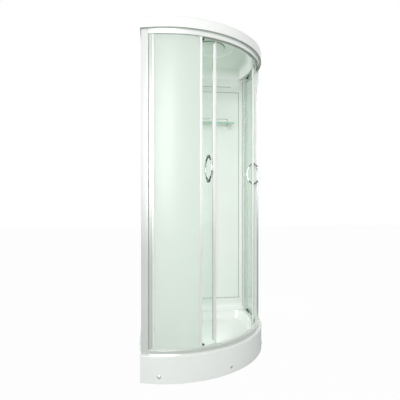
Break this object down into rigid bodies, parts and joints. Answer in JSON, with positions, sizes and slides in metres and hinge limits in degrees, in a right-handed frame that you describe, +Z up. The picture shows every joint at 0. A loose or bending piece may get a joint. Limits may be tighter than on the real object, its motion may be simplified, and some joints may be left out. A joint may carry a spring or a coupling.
{
  "type": "quadrant shower enclosure",
  "caption": "Corner shower cabin with a curved front of fixed and sliding glass, a shallow tray, two wall panels, a glass shelf and a domed roof",
  "frame": {"origin": "on the floor, under the middle of the 900 mm square that the tray fills; bounding box bottom centre", "axes": "+Z up; the room's left wall lies at -X and its back wall at +Y, so the corner is at -X +Y and the curved front faces +X -Y"},
  "size_m": [0.9, 0.9, 2.15],
  "materials": {
    "white_acrylic": "glossy white moulded acrylic",
    "white_coated_aluminium": "smooth white powder coat",
    "satin_aluminium": "satin anodised",
    "frosted_glass": "etched, with a faint green cast",
    "clear_glass": "clear, green at the edges",
    "wall_acrylic": "glossy white moulded sheet",
    "chrome": "polished",
    "clear_seal": "translucent soft plastic",
    "white_plastic": "smooth white",
    "dark_plastic": "smooth dark grey",
    "black_rubber": "matt",
    "zinc_steel": "zinc-plated"
  },
  "bodies": {
    "enclosure": {"tray": "white_acrylic", "tray_apron": "white_acrylic", "apron_screw_caps": "chrome", "tray_frame": "zinc_steel", "frame_legs": "zinc_steel", "leg_nuts": "zinc_steel", "frame_feet": "black_rubber", "waste_trap": "white_plastic", "waste_cover": "chrome", "top_rail": "white_coated_aluminium", "bottom_rail": "white_coated_aluminium", "rail_end_caps": "white_plastic", "door_stops": "black_rubber", "corner_profile": "white_acrylic", "shelf_glass": "clear_glass", "shelf_brackets": "chrome", "shelf_guard_rail": "chrome", "roof": "white_acrylic", "ceiling_cover": "white_plastic", "left_wall_panel": "wall_acrylic", "left_wall_post": "white_coated_aluminium", "left_glass_channel": "satin_aluminium", "left_glazing_gaskets": "white_plastic", "left_fixed_glass": "frosted_glass", "left_fixed_edge_trim": "satin_aluminium", "left_wiper_fin": "clear_seal", "right_wall_panel": "wall_acrylic", "right_wall_post": "white_coated_aluminium", "right_glass_channel": "satin_aluminium", "right_glazing_gaskets": "white_plastic", "right_fixed_glass": "frosted_glass", "right_fixed_edge_trim": "satin_aluminium", "right_wiper_fin": "clear_seal"},
    "left_door": {"left_door_glass": "clear_glass", "left_door_stile": "satin_aluminium", "left_magnetic_seal": "clear_seal", "left_trailing_seal": "clear_seal", "left_outer_handle": "chrome", "left_inner_handle": "chrome", "left_handle_bushes": "clear_seal", "left_roller_brackets": "dark_plastic", "left_roller_bolts": "chrome"},
    "left_upper_front_roller": {"left_upper_front_wheel": "dark_plastic"},
    "left_upper_rear_roller": {"left_upper_rear_wheel": "dark_plastic"},
    "left_lower_front_roller": {"left_lower_front_wheel": "dark_plastic"},
    "left_lower_rear_roller": {"left_lower_rear_wheel": "dark_plastic"},
    "right_door": {"right_door_glass": "clear_glass", "right_door_stile": "satin_aluminium", "right_magnetic_seal": "clear_seal", "right_trailing_seal": "clear_seal", "right_outer_handle": "chrome", "right_inner_handle": "chrome", "right_handle_bushes": "clear_seal", "right_roller_brackets": "dark_plastic", "right_roller_bolts": "chrome"},
    "right_upper_front_roller": {"right_upper_front_wheel": "dark_plastic"},
    "right_upper_rear_roller": {"right_upper_rear_wheel": "dark_plastic"},
    "right_lower_front_roller": {"right_lower_front_wheel": "dark_plastic"},
    "right_lower_rear_roller": {"right_lower_rear_wheel": "dark_plastic"}
  },
  "joints": [
    {"name": "left_door_travel", "type": "hinge", "parent": "enclosure", "child": "left_door", "pos_m": [-0.22, 0.22, 0], "axis": [0, 0, 1], "range_deg": [-2.5, 21.95]},
    {"name": "left_upper_front_spin", "type": "hinge", "parent": "left_door", "child": "left_upper_front_roller", "pos_m": [-0.06569, -0.38101, 2.074], "axis": [0.2487, -0.9686, 0], "range_deg": [-1440, 170]},
    {"name": "left_upper_rear_spin", "type": "hinge", "parent": "left_door", "child": "left_upper_rear_roller", "pos_m": [-0.29992, -0.39533, 2.074], "axis": [-0.1288, -0.9917, 0], "range_deg": [-1440, 170]},
    {"name": "left_lower_front_spin", "type": "hinge", "parent": "left_door", "child": "left_lower_front_roller", "pos_m": [-0.06569, -0.38101, 0.177], "axis": [0.2487, -0.9686, 0], "range_deg": [-170, 1440]},
    {"name": "left_lower_rear_spin", "type": "hinge", "parent": "left_door", "child": "left_lower_rear_roller", "pos_m": [-0.29992, -0.39533, 0.177], "axis": [-0.1288, -0.9917, 0], "range_deg": [-170, 1440]},
    {"name": "right_door_travel", "type": "hinge", "parent": "enclosure", "child": "right_door", "pos_m": [-0.22, 0.22, 0], "axis": [0, 0, 1], "range_deg": [-21.95, 2.5]},
    {"name": "right_upper_front_spin", "type": "hinge", "parent": "right_door", "child": "right_upper_front_roller", "pos_m": [0.38101, 0.06569, 2.074], "axis": [0.9686, -0.2487, 0], "range_deg": [-170, 1440]},
    {"name": "right_upper_rear_spin", "type": "hinge", "parent": "right_door", "child": "right_upper_rear_roller", "pos_m": [0.39533, 0.29992, 2.074], "axis": [0.9917, 0.1288, 0], "range_deg": [-170, 1440]},
    {"name": "right_lower_front_spin", "type": "hinge", "parent": "right_door", "child": "right_lower_front_roller", "pos_m": [0.38101, 0.06569, 0.177], "axis": [0.9686, -0.2487, 0], "range_deg": [-1440, 170]},
    {"name": "right_lower_rear_spin", "type": "hinge", "parent": "right_door", "child": "right_lower_rear_roller", "pos_m": [0.39533, 0.29992, 0.177], "axis": [0.9917, 0.1288, 0], "range_deg": [-1440, 170]}
  ],
  "couplings": [
    {"joint": "left_upper_front_spin", "follows": "left_door_travel", "ratio": -65.316},
    {"joint": "left_upper_rear_spin", "follows": "left_door_travel", "ratio": -65.316},
    {"joint": "left_lower_front_spin", "follows": "left_door_travel", "ratio": 65.316},
    {"joint": "left_lower_rear_spin", "follows": "left_door_travel", "ratio": 65.316},
    {"joint": "right_upper_front_spin", "follows": "right_door_travel", "ratio": -65.316},
    {"joint": "right_upper_rear_spin", "follows": "right_door_travel", "ratio": -65.316},
    {"joint": "right_lower_front_spin", "follows": "right_door_travel", "ratio": 65.316},
    {"joint": "right_lower_rear_spin", "follows": "right_door_travel", "ratio": 65.316}
  ]
}
